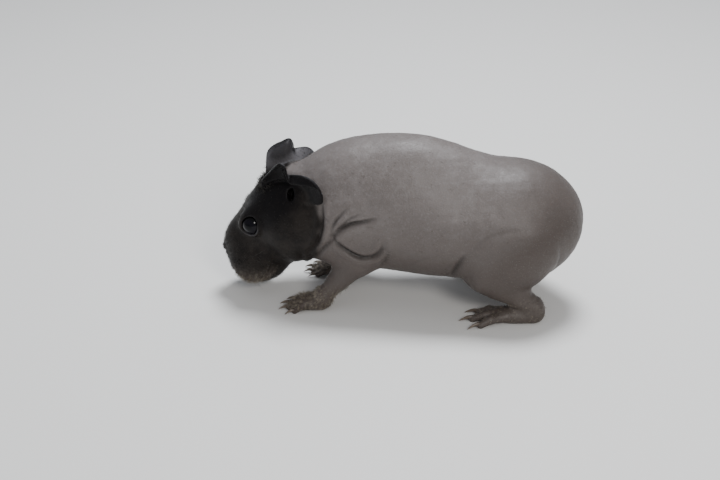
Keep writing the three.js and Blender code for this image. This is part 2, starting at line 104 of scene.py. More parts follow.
FORELEG = {
    "top": ([-16.5, 17.6, 27], 7.4),
    "end": ([-28.5, 18.6, 8.6], 4.0),
    "steps": {"left": -5, "right": 3},
    "masses": {
        "palm": mass([-35, 18.3, 3.3], [8, 4.9, 3.7], 2),
        "wrist": mass([-30, 18.6, 5.6], [4.6, 4.2, 5.2], 2.5),
    },
    "knuckles": [-39, 18.1, 2.9],
    "knuckle half width": 3.4,
    "heading": 6,
    "toes": [(-22, 6), (-8, 7.6), (6, 7.8), (22, 6)],
    "toe radius": 1.7,
    "claw": 3.6,
}
HINDLEG = {
    "top": ([43.5, 22.2, 24.5], 8.8),
    "end": ([65, 21.6, 8.4], 4.9),
    "steps": {"left": 3, "right": -4},
    "masses": {
        "sole": mass([56, 22.8, 3.2], [13.5, 5, 4.1], 2),
        "heel": mass([66, 22, 5.4], [5, 4.5, 5.8], 3),
    },
    "knuckles": [47, 23.4, 3.2],
    "knuckle half width": 3.6,
    "heading": 9,
    "toes": [(-16, 9), (0, 10.8), (16, 9)],
    "toe radius": 2.1,
    "claw": 4.8,
}
LEGS = {"fore": FORELEG, "hind": HINDLEG}
FLOOR_SINK = 0.45  # how far toes are flattened by the floor
CLAW_CLEARANCE = 0.45
CLAW_THICKNESS, CLAW_NARROWNESS, CLAW_RIDGE = 0.56, 0.78, 0.12  # of its toe, its height, its radius
LEGS_FROM_MIDDLE = 8
FOREFEET_END = 5  # fore feet are in front of this place, hind feet behind it
EAR_AT = np.array([17, 12.5, 11.5])
EAR_SINK = 6
EAR_ROOT = [
    [-5, -5.5, 6], [-1, -4.8, 5.8], [4, -3.8, 3.8], [8, -2.4, 0.5], [10, -1.2, -4], [9.5, 0.2, -9],
    [6.5, 1.2, -12.5],
]
EAR_RIMS = {
    -1: [
        [-2.2, -4.5, 8.1], [3.5, -3, 8.8], [8.5, -1, 9.6], [12.7, 0.5, 9.6], [13.4, 1.5, 6.9],
        [11.1, 2, 3.8], [10.3, 3.5, 0.2], [14.4, 5.5, -1.2], [19, 7.5, -3.8], [21.8, 9, -7.6],
        [20.3, 10, -12.6], [16.2, 10, -15.2], [10.3, 6.5, -13],
    ],
    1: [
        [-4.3, -4.5, 6.1], [-1.6, -2.5, 9.8], [1.3, -0.5, 12.5], [5, 1, 12.8], [9.4, 2, 11.3],
        [13.2, 2.5, 9.5], [12.1, 3, 6.6], [9.4, 4, 4], [11.9, 5.5, 1.6], [14.4, 7.5, -1],
        [15, 8.5, -4.4], [13.7, 8, -8.5], [9.3, 4.5, -9.7],
    ],
}
EAR_BOW = [
    [0, -1, 0.5], [0.5, -2, 0.5], [1, -1.5, 1], [1, 0, 2], [1.5, 1.2, 2.2], [1.2, 2, 1.6],
    [0.4, 1, 0.4],
]
EAR_HALF_THICKNESS = (0.85, 0.5)  # at the root and at the rim
EAR_CURL = [
    [0, 0, 0], [-0.2, 0.6, -0.4], [-0.6, 1, -0.6], [-0.3, 1, -0.8], [-1.4, 1.8, -2.6],
    [-1.8, 1.2, -1.2], [0, 0, 0],
]
CURL_FROM = 0.6
EAR_CANAL = {"at": [21.2, 13.4, 6.2], "size": [1.5, 3.5, 2.6]}
MUZZLE_MIDDLE = [-15, 0, -4]
NOSTRIL = {"path": [[-29, 1.4, 4], [-28.4, 3, 5], [-27, 4.4, 5.8]], "radius": 0.85}
LIP_CLEFT = {"path": [[-29, 0, 1.6], [-29.5, 0, -3], [-29, 0, -10]], "radius": 0.5}
MOUTH = {"path": [[-27, 0, -11.5], [-26, 3.2, -12.2], [-22.5, 6.8, -13.2], [-17, 9.2, -14]], "radius": 0.6}


# Directions and places

def turn_y(pitch):
    angle = math.radians(-pitch)
    c, s = math.cos(angle), math.sin(angle)
    return np.array([[c, 0, s], [0, 1, 0], [-s, 0, c]])


HEAD_TURN = turn_y(HEAD_PITCH)


def out_of_head(points):
    return np.asarray(points, float) @ HEAD_TURN.T + HEAD_AT


def into_head(points):
    return (points - HEAD_AT) @ HEAD_TURN


def on_side(point, side):
    return np.array([point[0], point[1] * side, point[2]], float)


def unit(vectors):
    length = np.linalg.norm(vectors, axis=-1, keepdims=True)
    return vectors / np.maximum(length, 1e-9)


def smooth(low, high, value):
    t = np.clip((value - low) / (high - low), 0, 1)
    return t * t * (3 - 2 * t)


def through(points, shares):
    """A smooth curve through points, read at shares from 0 to 1."""
    points = np.asarray(points, float)
    padded = np.vstack([2 * points[0] - points[1], points, 2 * points[-1] - points[-2]])
    place = np.clip(np.asarray(shares, float), 0, 1) * (len(points) - 1)
    i = np.minimum(place.astype(int), len(points) - 2)
    t = (place - i)[..., None]
    a, b, c, d = (padded[i + k] for k in range(4))
    return 0.5 * (2 * b + (c - a) * t + (2 * a - 5 * b + 4 * c - d) * t**2 + (3 * (b - c) + d - a) * t**3)


# Flesh: each field is negative inside and about the distance in millimetres outside

FAR = 30.0


def ellipsoid(points, form, side=1):
    local = (points - on_side(form["at"], side)) @ turn_y(form["pitch"])
    size = np.array(form["size"], float)
    near = np.linalg.norm(local / size, axis=1)
    steep = np.linalg.norm(local / size**2, axis=1)
    return near * (near - 1) / np.maximum(steep, 1e-9)


def limb(points, start, start_radius, end, end_radius):
    start, end = np.asarray(start, float), np.asarray(end, float)
    along = end - start
    t = np.clip((points - start) @ along / (along @ along), 0, 1)
    away = np.linalg.norm(points - start - t[:, None] * along, axis=1)
    return away - (start_radius + t * (end_radius - start_radius))


def melted(a, b, softness):
    share = np.maximum(softness - np.abs(a - b), 0) / softness
    return np.minimum(a, b) - share * share * softness / 4


def carved(a, b, softness):
    return -melted(-a, b, softness)


def flesh(points, forms):
    total = np.full(len(points), FAR)
    for form in forms.values():
        for side in (-1, 1) if form["pair"] else (1,):
            total = melted(total, ellipsoid(points, form, side), form["melt"])
    return total


def near_line(points, path):
    """Distance to a line of points."""
    best = np.full(len(points), FAR)
    for start, end in zip(path[:-1], path[1:]):
        best = np.minimum(best, limb(points, start, 0, end, 0))
    return best


def trunk(points):
    return melted(
        melted(flesh(points, TORSO), flesh(points, NECK), 12),
        flesh(into_head(points), HEAD),
        9,
    )


def cast(field, start, ways, farthest=60.0):
    """Where rays from inside leave the flesh."""
    start = np.broadcast_to(np.asarray(start, float), np.shape(ways))
    ways = unit(np.asarray(ways, float))
    low = np.zeros(len(ways))
    high = np.full(len(ways), farthest)
    for step in np.linspace(1, farthest, 80):
        outside = field(start + ways * step) > 0
        first = outside & (high == farthest)
        high[first] = step
        low[~outside & (high == farthest)] = step
    for _ in range(14):
        middle = (low + high) / 2
        outside = field(start + ways * middle[:, None]) > 0
        high = np.where(outside, middle, high)
        low = np.where(outside, low, middle)
    return start + ways * ((low + high) / 2)[:, None]


def head_line(groove, side):
    """A line of the muzzle, laid on the skin."""
    shares = np.linspace(0, 1, 9)
    aims = through([on_side(p, side) for p in groove["path"]], shares)
    middle = out_of_head(MUZZLE_MIDDLE)
    return cast(trunk, middle, out_of_head(aims) - middle)


# Toes and claws

def foot_shift(leg, side_name, share=1.0):
    return np.array([leg["steps"][side_name] * share, 0, 0])


def toe_joints(leg, index, side_name):
    side = SIDES[side_name]
    fan, length = leg["toes"][index]
    turn = math.radians(leg["heading"] + fan) * side
    forward = np.array([-math.cos(turn), math.sin(turn), 0])
    share = 2 * index / (len(leg["toes"]) - 1) - 1
    base = on_side(leg["knuckles"], side) + foot_shift(leg, side_name)
    base = base + [1.2 * abs(share), share * leg["knuckle half width"] * side, 0]
    thick = leg["toe radius"]

    def place(along, height):
        spot = base + forward * along * length
        return np.array([spot[0], spot[1], height])

    joints = [
        (place(-0.25, base[2]), thick * 1.05),
        (place(0.45, base[2] + 0.1), thick),
        (place(1, thick * 0.9 - FLOOR_SINK), thick * 0.85),
    ]
    return joints, forward


def toes(points, leg, side_name):
    total = np.full(len(points), FAR)
    for index in range(len(leg["toes"])):
        (a, ra), (b, rb), (c, rc) = toe_joints(leg, index, side_name)[0]
        toe = melted(limb(points, a, ra, b, rb), limb(points, b, rb, c, rc), 1)
        total = melted(total, toe, 0.8)
    return total


def foot(points, leg, side_name):
    side = SIDES[side_name]
    shift = foot_shift(leg, side_name)
    total = np.full(len(points), FAR)
    for form in leg["masses"].values():
        total = melted(total, ellipsoid(points - shift, form, side), form["melt"])
    return total


def leg_flesh(points, leg, side_name):
    side = SIDES[side_name]
    (top, top_radius), (end, end_radius) = leg["top"], leg["end"]
    top = on_side(top, side) + foot_shift(leg, side_name, 0.3)
    end = on_side(end, side) + foot_shift(leg, side_name)
    total = melted(limb(points, top, top_radius, end, end_radius), foot(points, leg, side_name), 3)
    low = points[:, 2] < 12
    total[low] = melted(total[low], toes(points[low], leg, side_name), 1.6)
    return total


# Ear: a bowed sheet from its root on the head to its rim

def ear_place(u, v, side):
    low = through(EAR_ROOT, u) + EAR_AT
    high = through(EAR_RIMS[side], u) + EAR_AT
    v = np.asarray(v, float)[..., None]
    inward = unit(np.array([0.25, -0.75, -0.6]))
    bow = through(EAR_BOW, u) * 4 * v * (1 - v)
    curl = through(EAR_CURL, u) * (np.maximum(v - CURL_FROM, 0) / (1 - CURL_FROM)) ** 2
    return np.where(v < 0, low - inward * v * EAR_SINK, low + (high - low) * v + bow + curl)


EAR_ACROSS, EAR_UP = 60, 36
EAR_BELOW_ROOT = 0.6  # how far the sheet runs on into the head
EAR_MARGIN = 2.5
ear_faces = [
    [i * EAR_UP + j, (i + 1) * EAR_UP + j, (i + 1) * EAR_UP + j + 1, i * EAR_UP + j + 1]
    for i in range(EAR_ACROSS - 1)
    for j in range(EAR_UP - 1)
]


def ear_sheet(side):
    """An ear's sheet, for finding the nearest place on it, and the box that it acts in."""
    across, up = np.meshgrid(
        np.linspace(0, 1, EAR_ACROSS), np.linspace(-EAR_BELOW_ROOT, 1, EAR_UP), indexing="ij"
    )
    sheet = out_of_head(ear_place(across, up, side).reshape(-1, 3))
    tree = BVHTree.FromPolygons(sheet.tolist(), ear_faces)
    return tree, sheet.min(0) - EAR_MARGIN, sheet.max(0) + EAR_MARGIN


ear_sheets = {side: ear_sheet(side) for side in SIDES.values()}


def ear(points):
    """Distance to the ear's flesh on each point's side, and how far up and along the ear it lies."""
    away = np.full(len(points), FAR)
    height = np.zeros(len(points))
    along = np.zeros(len(points))
    root_half, rim_half = EAR_HALF_THICKNESS
    folded = mirrored(points)
    for side, (tree, low, high) in ear_sheets.items():
        inside = np.all((folded > low) & (folded < high), axis=1) & (points[:, 1] * side > 0)
        for i in np.flatnonzero(inside):
            _, _, face, distance = tree.find_nearest(folded[i])
            up_sheet = (face % (EAR_UP - 1) + 0.5) / (EAR_UP - 1)
            height[i] = up = max(-EAR_BELOW_ROOT + (1 + EAR_BELOW_ROOT) * up_sheet, 0)
            along[i] = (face // (EAR_UP - 1) + 0.5) / (EAR_ACROSS - 1)
            away[i] = distance - (root_half + (rim_half - root_half) * up)
    return away, height, along


def mirrored(points):
    """Points folded over to the right side."""
    return points * [1, 0, 1] + np.abs(points * [0, 1, 0])


def canal(points):
    local = (points - out_of_head(EAR_CANAL["at"])) / np.array(EAR_CANAL["size"], float)
    return (np.linalg.norm(local, axis=1) - 1) * min(EAR_CANAL["size"])


def eye_frame(side):
    """Centre of an eye, where it looks, and the direction of its corners."""
    centre = out_of_head(on_side(EYE_AT, side))
    look = unit(on_side(EYE_LOOK, side)) @ HEAD_TURN.T
    along = np.array([1.0, 0, 0]) @ turn_y(HEAD_PITCH + EYE_SLANT).T
    along = unit(along - look * (along @ look))
    return centre, look, along


def lids(points):
    """The shell of the lids and the opening between them, on the right side."""
    centre, look, along = eye_frame(1)
    across = np.cross(along, look)
    local = points - centre
    away = np.linalg.norm(local, axis=1)
    out = np.maximum(local @ look, 1e-6)
    tan_long, tan_high = (math.tan(math.radians(angle)) for angle in EYE_OPENING)
    ellipse = np.hypot(local @ along / tan_long, local @ across / tan_high) / out
    opening = (ellipse - 1) * out * math.sin(math.radians(min(EYE_OPENING)))
    opening = np.where(local @ look > 0, opening, FAR)
    return away - EYE_RADIUS - LID_THICKNESS, np.minimum(opening, FAR), away - EYE_RADIUS - 0.06


GROOVES = {
    "nostril": (head_line(NOSTRIL, 1), NOSTRIL["radius"], 0.5),
    "mouth": (head_line(MOUTH, 1), MOUTH["radius"], 0.8),
    "cleft": (head_line(LIP_CLEFT, 1), LIP_CLEFT["radius"], 0.7),
}


def animal(points):
    """The whole skin's field."""
    total = trunk(points)
    for kind, leg in LEGS.items():
        for side_name, side in SIDES.items():
            near = (points[:, 2] < 36) & (points[:, 1] * side > 4)
            near &= points[:, 0] < 5 if kind == "fore" else points[:, 0] > 15
            total[near] = melted(total[near], leg_flesh(points[near], leg, side_name), 4)
    head = points[:, 0] < HEAD_REACH
    folded = mirrored(points[head])
    part = total[head]
    shell, opening, ball = lids(folded)
    part = melted(part, shell, 1.8)
    part = carved(part, opening, 0.5)
    part = carved(part, ball, 0.25)
    part = carved(part, canal(folded), 1.5)
    part = melted(part, ear(points[head])[0], 1.6)
    for path, radius, softness in GROOVES.values():
        part = carved(part, near_line(folded, path) - radius, softness)
    total[head] = part
    return total


# Skin: the field is read on a grid that is finer where the form is finer, and meshed

GRID_X = [(-94, -60, 0.52), (-60, -36, 0.6), (-36, -5, 0.8), (-5, 27, 2.6), (27, 52, 1.0), (52, 96, 1.9)]
GRID_Y = [(-37, -27, 0.9), (-27, -11, 0.66), (-11, 11, 0.64), (11, 27, 0.66), (27, 37, 0.9)]
GRID_Z = [(-2, 10, 0.52), (10, 18, 0.8), (18, 74, 0.7), (74, 88, 0.9)]
BLOCK = 4  # grid steps in a block that is skipped when it is far from the surface
BAND = 2.5


def grid_line(stretches):
    pieces = [np.arange(low, high - step / 2, step) for low, high, step in stretches]
    return np.append(np.concatenate(pieces), stretches[-1][1])


def spread(blocks, counts):
    """The values of blocks, given to every grid point in them."""
    for axis in range(3):
        blocks = np.repeat(blocks, BLOCK, axis=axis)
    return blocks[: counts[0], : counts[1], : counts[2]]


def read_field(field, lines):
    """The field on a grid, worked out only in blocks near the surface."""
    counts = [len(line) for line in lines]
    blocks = [np.arange(0, count, BLOCK) for count in counts]
    ends = [np.minimum(start + BLOCK, count) for start, count in zip(blocks, counts)]
    middles = [(line[a] + line[b - 1]) / 2 for line, a, b in zip(lines, blocks, ends)]
    halves = [(line[b - 1] - line[a]) / 2 for line, a, b in zip(lines, blocks, ends)]
    centres = np.stack(np.meshgrid(*middles, indexing="ij"), -1).reshape(-1, 3)
    reach = np.sqrt(sum(h**2 for h in np.meshgrid(*halves, indexing="ij"))).reshape(-1)
    rough = field(centres)
    shape = tuple(len(b) for b in blocks)
    values = spread(np.where(rough > 0, BAND, -BAND).reshape(shape), counts).astype(np.float32)
    index = np.argwhere(spread((np.abs(rough) < reach * 1.6 + BAND).reshape(shape), counts))
    for part in np.array_split(index, max(1, len(index) // 400000)):
        points = np.stack([line[part[:, k]] for k, line in enumerate(lines)], -1)
        values[part[:, 0], part[:, 1], part[:, 2]] = np.clip(field(points), -BAND, BAND)
    return values


def slope(field, points, step=0.05):
    here = []
    for axis in range(3):
        offset = np.zeros(3)
        offset[axis] = step
        here.append((field(points + offset) - field(points - offset)) / (2 * step))
    return np.stack(here, -1)


def meshed(field):
    lines = [grid_line(GRID_X), grid_line(GRID_Y), grid_line(GRID_Z)]
    grid = openvdb.FloatGrid(BAND)
    grid.copyFromArray(read_field(field, lines))
    places, quads = grid.convertToQuads(isovalue=0.0)
    points = np.stack(
        [np.interp(places[:, k], np.arange(len(line)), line) for k, line in enumerate(lines)], -1
    )
    for _ in range(2):
        way = slope(field, points)
        squared = np.maximum((way**2).sum(1), 0.2)
        move = -(field(points) / squared)[:, None] * way
        limit = np.minimum(1, 0.4 / np.maximum(np.linalg.norm(move, axis=1), 1e-9))
        points = points + move * limit[:, None]
    return points, quads, unit(slope(field, points))


# Folds: lines near the right side's skin, which are laid on it, with a width and a depth

FOLDS = {
    "behind the cheek": (
        [(-34, 20, 60), (-34, 23, 54.5), (-34, 24, 50), (-35, 24, 44), (-37.5, 22, 37), (-41, 20, 32)],
        1.3, 1.7,
    ),
    "armpit, upward": (
        [(-29, 26, 43), (-28.7, 26, 49), (-27.3, 26, 52.6), (-25.4, 25.5, 55), (-21.9, 25, 59)],
        1.1, 1.0,
    ),
    "armpit, backward": (
        [(-30, 26, 42), (-26, 27, 48), (-22, 27, 50.6), (-18.8, 27, 52), (-14, 27, 53), (-8.5, 26.5, 55)],
        1.3, 2.0,
    ),
    "armpit, between": (
        [(-28, 26.5, 45), (-24.6, 27, 49.7), (-21.8, 26, 53), (-19, 26, 55), (-15.5, 25.7, 56.2)],
        1.1, 0.9,
    ),
    "upper arm, fine": ([(-14.5, 26, 49.7), (-11.4, 26, 50.4), (-8, 26.5, 50)], 0.9, 0.5),
    "under the upper arm": (
        [(-30, 26, 45), (-27, 26, 41.5), (-24.5, 26, 38.8), (-21.5, 26, 36.6), (-18, 26, 34.6),
         (-14, 26, 33.4), (-9, 26, 34), (-5.5, 26.5, 38), (-4.5, 28, 43)],
        1.4, 2.1,
    ),
    "armpit to breast": ([(-28.5, 26, 43.5), (-31, 25, 40), (-34, 24, 36), (-36, 20, 31)], 1.2, 1.2),
    "neck": ([(-33.8, 23.6, 54), (-32, 24, 53), (-30, 25, 52)], 0.9, 0.4),
    "behind the elbow": ([(-7, 21, 27), (-3, 24, 33), (-1.5, 27, 40)], 1.3, 0.9),
    "flank": ([(6, 22.6, 29), (13, 25.8, 35), (23, 27, 39)], 1.8, 0.35),
    "groin": ([(28, 17, 24), (30, 23.7, 31), (35, 27, 40)], 1.5, 1.2),
    "groin, small": ([(23, 18.7, 25), (25, 23, 30), (29, 26, 36)], 1.2, 0.5),
    "behind the thigh": ([(78, 14, 27), (77, 17, 34), (73, 20, 42)], 1.5, 0.5),
    "over the thigh": ([(38, 28, 43), (46, 28, 49), (57, 27, 51)], 2.2, 0.35),
    "throat": ([(-45, 15, 34), (-47, 8, 29), (-47, -1, 27)], 1.5, 0.8),
    "throat, second": ([(-40, 14, 31), (-41, 8, 26), (-41, -1, 25)], 1.5, 0.6),
}
FOLD_STEP = 0.4  # between the points of a fold's line
RINGS_ABOVE_FOOT = [(1.5, 0.8, 0.35), (4.5, 0.9, 0.3)]  # up the leg, width and depth
RING_REACH = 9  # from the middle of the leg


def laid_on(field, points):
    """Points moved onto the skin."""
    for _ in range(4):
        way = slope(field, points)
        points = points - (field(points) / np.maximum((way**2).sum(1), 0.2))[:, None] * way
    return points


def fold_lines():
    for path, width, depth in FOLDS.values():
        reach = np.linalg.norm(np.diff(np.array(path, float), axis=0), axis=1).sum()
        line = through(path, np.linspace(0, 1, int(reach / FOLD_STEP) + 2))
        for side in (-1, 1):
            yield laid_on(animal, line * [1, side, 1]), width, depth


def fold(points, line, width, depth):
    """How far each point moves, and how deep in the fold it lies from 0 to 1, which sets the painted shade
    of the fold.
    """
    move = np.zeros(len(points))
    deep = np.zeros(len(points))
    margin = 4 * width
    close = np.all((points > line.min(0) - margin) & (points < line.max(0) + margin), axis=1)
    offset = points[close][:, None, :] - line[None, :, :]
    squared = (offset**2).sum(-1)
    nearest = squared.argmin(1)
    away = np.sqrt(squared[np.arange(len(nearest)), nearest])
    share = nearest / (len(line) - 1)
    ends = np.sin(np.pi * (0.04 + 0.92 * share)) ** 0.7
    hollow = 0.55 * np.exp(-((away / width) ** 2)) + 0.45 * np.exp(-((away / (0.5 * width)) ** 2))
    lips = np.exp(-(((away - 2.1 * width) / width) ** 2))
    move[close] = depth * ends * (0.3 * lips - hollow)
    deep[close] = ends * np.exp(-((away / (0.8 * width)) ** 2)) * min(depth / 1.6, 1)
    return move, deep


def leg_rings(points):
    """Fine rings in the skin above each foot."""
    move = np.zeros(len(points))
    for leg in LEGS.values():
        for side_name, side in SIDES.items():
            end = on_side(leg["end"][0], side) + foot_shift(leg, side_name)
            up = unit(on_side(leg["top"][0], side) - on_side(leg["end"][0], side))
            local = points - end
            along = local @ up
            near = np.linalg.norm(local - along[:, None] * up, axis=1) < RING_REACH
            for height, width, depth in RINGS_ABOVE_FOOT:
                move -= near * depth * np.exp(-(((along - height) / width) ** 2))
    return move


RIPPLES = [(0.2, 16, 3), (0.09, 6, 5)]  # height, wavelength and seed of the flesh's unevenness
CALM_ON_FACE, CALM_ON_EARS = 0.75, 0.8  # how much less the face and the ears are moved


def ripple(points, wave, seed):
    """Soft unevenness of flesh, between -1 and 1, with about the given wavelength."""
    draw = np.random.default_rng(seed)
    total = np.zeros(len(points))
    for _ in range(7):
        way = unit(draw.normal(size=3))
        total += np.sin(points @ way * 2 * np.pi / (wave * draw.uniform(0.7, 1.4)) + draw.uniform(0, 6.3))
    return total / 4


def skin_shape():
    points, quads, normals = meshed(animal)
    move = sum(height * ripple(points, wave, seed) for height, wave, seed in RIPPLES)
    move = move + leg_rings(points)
    # how deep in a fold each point lies, which sets the painted shade in the folds
    crease_shading = np.zeros(len(points))
    above_floor = 1 - smooth(9, 4, points[:, 2])
    for line, width, depth in fold_lines():
        shift, deep = fold(points, line, width, depth)
        move += shift
        crease_shading = np.maximum(crease_shading, deep)
    face = smooth(-40, -55, points[:, 0])
    on_ear = smooth(1.5, 0.5, ear(points)[0])
    move *= above_floor * (1 - CALM_ON_FACE * face) * (1 - CALM_ON_EARS * on_ear)
    points = points + normals * move[:, None]
    points[:, 2] = np.maximum(points[:, 2], 0.0)
    return points, quads, normals, crease_shading


# Making pieces in the model's frame

eye_low, eye_high = (np.array(corner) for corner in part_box("eye_left"))
SHIFT = (eye_low + eye_high) / 2 / MM - out_of_head(on_side(EYE_AT, -1))


def placed(points):
    return (np.asarray(points) + SHIFT) * MM


def linked(name, data):
    thing = bpy.data.objects.new(name, data)
    bpy.context.scene.collection.objects.link(thing)
    return thing


def mesh_piece(name, points, faces, material):
    points = np.asarray(points, float)
    faces = np.asarray(faces)
    mesh = bpy.data.meshes.new(name)
    count = faces.shape[1]
    mesh.vertices.add(len(points))
    mesh.vertices.foreach_set("co", placed(points).astype(np.float32).ravel())
    mesh.loops.add(faces.size)
    mesh.loops.foreach_set("vertex_index", faces.astype(np.int32).ravel())
    mesh.polygons.add(len(faces))
    mesh.polygons.foreach_set("loop_start", np.arange(0, faces.size, count, dtype=np.int32))
    mesh.polygons.foreach_set("use_smooth", np.ones(len(faces), bool))
    mesh.update(calc_edges=True)
    mesh.validate()
    piece = linked(name, mesh)
    mesh.materials.append(material)
    return piece


def give(piece, name, values):
    """A number or a direction for each point of a piece."""
    values = np.asarray(values, np.float32)
    kind = "FLOAT_VECTOR" if values.ndim == 2 else "FLOAT"
    attribute = piece.data.attributes.new(name, kind, "POINT")
    attribute.data.foreach_set("vector" if values.ndim == 2 else "value", values.ravel())


# Finishes

class Finish:
    """A material and short calls for the nodes it is made of."""

    def __init__(self, name, **shader):
        self.material = bpy.data.materials.new(name)
        self.material.use_nodes = True
        self.tree = self.material.node_tree
        self.shader = self.tree.nodes["Principled BSDF"]
        for socket, value in shader.items():
            self.shader.inputs[socket.replace("_", " ")].default_value = value
        self.object_place = self.add("TexCoord").outputs["Object"]

    def add(self, kind, **settings):
        node = self.tree.nodes.new("ShaderNode" + kind)
        for key, value in settings.items():
            setattr(node, key, value)
        return node

    def feed(self, socket, value):
        if isinstance(value, bpy.types.NodeSocket):
            self.tree.links.new(value, socket)
        else:
            socket.default_value = value

    def attribute(self, name):
        return self.add("Attribute", attribute_name=name).outputs["Fac"]

    def noise(self, scale, detail=3.0, roughness=0.55):
        node = self.add("TexNoise")
        self.feed(node.inputs["Vector"], self.object_place)
        for socket, value in (("Scale", scale), ("Detail", detail), ("Roughness", roughness)):
            node.inputs[socket].default_value = value
        return node.outputs["Fac"]

    def cells(self, scale, feature="F1"):
        node = self.add("TexVoronoi", feature=feature)
        self.feed(node.inputs["Vector"], self.object_place)
        node.inputs["Scale"].default_value = scale
        return node.outputs["Distance"]

    def span(self, value, low, high, to_low=0.0, to_high=1.0):
        node = self.add("MapRange")
        self.feed(node.inputs["Value"], value)
        numbers = {"From Min": low, "From Max": high, "To Min": to_low, "To Max": to_high}
        for socket, number in numbers.items():
            node.inputs[socket].default_value = number
        return node.outputs["Result"]

    def mix(self, share, a, b):
        node = self.add("Mix", data_type="RGBA")
        self.feed(node.inputs["Factor"], share)
        self.feed(node.inputs[6], a)
        self.feed(node.inputs[7], b)
        return node.outputs[2]

    def bump(self, height, strength, distance, below=None):
        node = self.add("Bump")
        node.inputs["Strength"].default_value = strength
        node.inputs["Distance"].default_value = distance
        self.feed(node.inputs["Height"], height)
        if below is not None:
            self.feed(node.inputs["Normal"], below)
        return node.outputs["Normal"]

    def set(self, socket, value):
        self.feed(self.shader.inputs[socket], value)


BODY_TAUPE = (0.136, 0.119, 0.113, 1)
BODY_LIGHT = (0.200, 0.184, 0.182, 1)
# a darker body tone, used for random patches and the feet, and as painted shade low on the sides and
# towards the rump
BODY_DARK_TONE_AND_SHADE = (0.060, 0.047, 0.041, 1)
# The head's colours: its own dark skin, darkened further as painted shade
HEAD_DARK = (0.0085, 0.0070, 0.0060, 1)
HEAD_LIGHT = (0.0170, 0.0140, 0.0120, 1)
HEAD_SPECK = (0.034, 0.030, 0.026, 1)
# painted shade: near black on the head's side below the ear
TEMPLE_SHADE_BLACK = (0.0040, 0.0034, 0.0034, 1)
# The ear's cup: dark pigment, deepened with painted shade; its back is greyer skin.
EAR_BLACK = (0.0030, 0.0025, 0.0028, 1)
EAR_GREY = (0.085, 0.081, 0.086, 1)
FOOT_BROWN = (0.085, 0.070, 0.060, 1)
# painted shade: the colour that darkens the skin's folds, where shade falls in them
CREASE_SHADE_DARK = (0.010, 0.0075, 0.006, 1)
LID_PALE = (0.060, 0.058, 0.062, 1)


def skin_finish():
    skin = Finish("pig_skin", Roughness=0.48, Specular_IOR_Level=0.36, Subsurface_Weight=0.03)
    skin.set("Subsurface Radius", (0.0016, 0.0009, 0.0006))
    skin.set("Subsurface Scale", 1.0)
    broad = skin.noise(38, 3)
    patchy = skin.noise(170, 3, 0.6)
    fine = skin.noise(900, 3, 0.65)
    speck = skin.noise(2600, 2, 0.7)
    body = skin.mix(skin.span(broad, 0.3, 0.7, 0.35, 0), BODY_TAUPE, BODY_DARK_TONE_AND_SHADE)
    body = skin.mix(skin.span(patchy, 0.5, 0.75, 0, 0.3), body, BODY_LIGHT)
    body = skin.mix(skin.span(fine, 0.52, 0.75, 0, 0.5), body, BODY_LIGHT)
    # painted shade: the body darker low on the sides and towards the rump
    body = skin.mix(skin.attribute("shade"), body, BODY_DARK_TONE_AND_SHADE)
    body = skin.mix(skin.span(speck, 0.6, 0.74, 0, 0.5), body, BODY_LIGHT)
    body = skin.mix(skin.span(skin.noise(620, 2), 0.64, 0.74, 0, 0.5), body, BODY_DARK_TONE_AND_SHADE)
    head = skin.mix(skin.span(patchy, 0.38, 0.62), HEAD_DARK, HEAD_LIGHT)
    head = skin.mix(skin.span(fine, 0.55, 0.78, 0, 0.6), head, HEAD_SPECK)
    # painted shade: near black on the head's side below the ear
    head = skin.mix(skin.span(skin.attribute("painted_temple_shade"), 0, 0.8), head, TEMPLE_SHADE_BLACK)
    # ears: dark pigment in the cup deepened with painted shade, greyer skin behind with painted shade in
    # its hollow
    ears = skin.mix(skin.span(fine, 0.5, 0.8), EAR_BLACK, HEAD_DARK)
    ears = skin.mix(skin.attribute("ear_back"), ears, EAR_GREY)
    # the head's dark colour, partly its own and partly painted shade
    colour = skin.mix(skin.attribute("dark"), body, head)
    feet = skin.mix(skin.span(fine, 0.4, 0.7), FOOT_BROWN, BODY_DARK_TONE_AND_SHADE)
    colour = skin.mix(skin.attribute("foot"), colour, feet)
    colour = skin.mix(skin.attribute("ear"), colour, ears)
    colour = skin.mix(skin.span(skin.attribute("lid"), 0.1, 1.0, 0, 0.7), colour, LID_PALE)
    # painted shade darkens the folds
    colour = skin.mix(skin.span(skin.attribute("painted_crease_shade"), 0.1, 0.95, 0, 0.92), colour, CREASE_SHADE_DARK)
    skin.set("Base Color", colour)
    skin.set("Specular Tint", skin.mix(skin.attribute("dark"), (1, 1, 1, 1), (0.30, 0.29, 0.30, 1)))
    skin.set("Roughness", skin.span(fine, 0.3, 0.7, 0.42, 0.60))
    lines = skin.span(skin.cells(420, "DISTANCE_TO_EDGE"), 0.0, 0.10)
    pores = skin.span(skin.cells(1700), 0.0, 0.5)
    normal = skin.bump(lines, 0.22, 0.00012)
    normal = skin.bump(pores, 0.3, 0.00008, normal)
    normal = skin.bump(patchy, 0.3, 0.0005, normal)
    skin.set("Normal", normal)
    return skin.material


def eye_finish():
    eye = Finish("eye_gloss", Roughness=0.05, Specular_IOR_Level=0.16)
    away = eye.attribute("from_pupil")
    rays = eye.noise(900, 2)
    iris = eye.mix(rays, (0.0014, 0.0012, 0.003, 1), (0.004, 0.003, 0.0055, 1))
    colour = eye.mix(eye.span(away, 0.34, 0.5), (0.0008, 0.0008, 0.0016, 1), iris)
    colour = eye.mix(eye.span(away, 0.72, 0.95), colour, (0.0015, 0.0012, 0.0016, 1))
    eye.set("Base Color", colour)
    return eye.material


